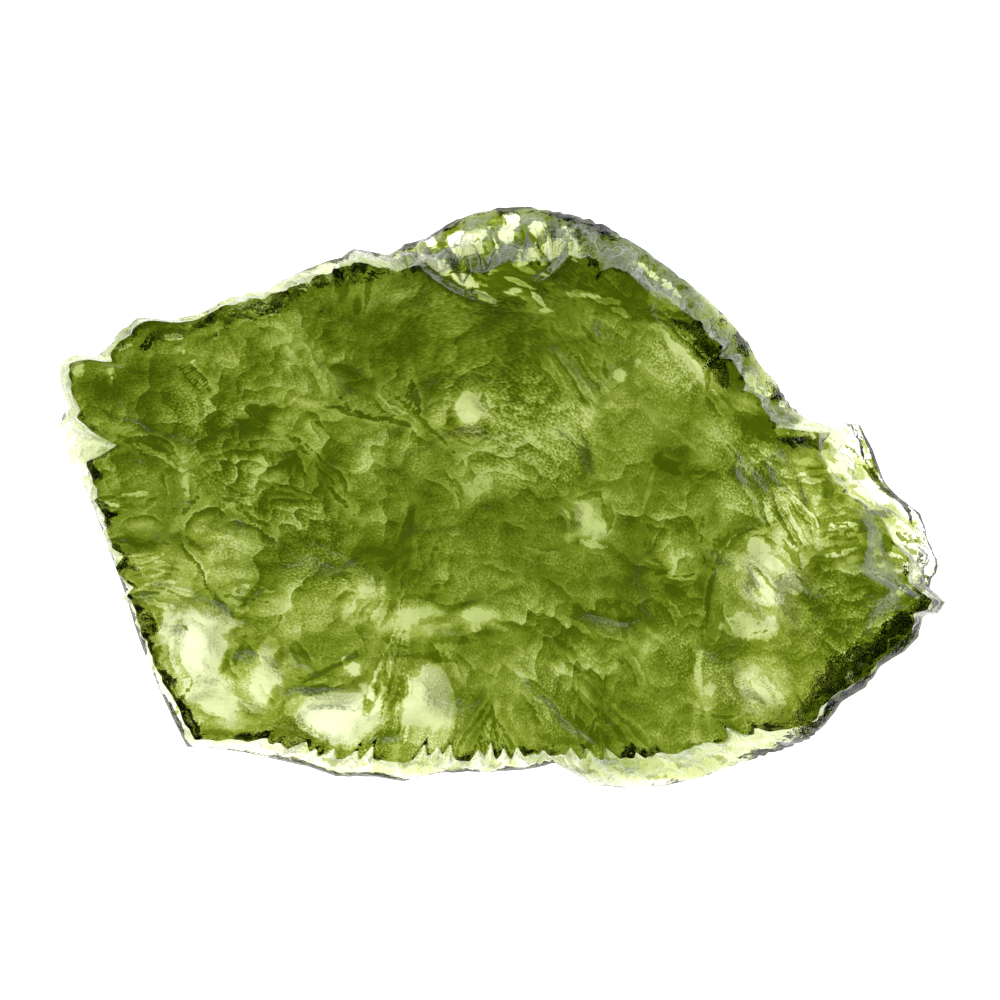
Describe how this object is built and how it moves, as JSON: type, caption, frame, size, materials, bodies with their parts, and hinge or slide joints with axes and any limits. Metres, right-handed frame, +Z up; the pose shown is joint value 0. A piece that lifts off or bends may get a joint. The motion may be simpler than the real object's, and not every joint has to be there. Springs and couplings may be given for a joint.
{
  "type": "raw moldavite stone",
  "caption": "Raw slab of clear green natural glass with an etched, pitted surface and a broken outline, lying on a small worn flat spot.",
  "frame": {"origin": "middle of the stone's box, on the surface that it lies on", "axes": "+X along the stone's length, +Y across it, +Z up through its thickness"},
  "size_m": [0.034, 0.0222, 0.007],
  "materials": {
    "green_glass": "etched, satin to glossy"
  },
  "bodies": {
    "root": {"moldavite": "green_glass"}
  },
  "joints": []
}
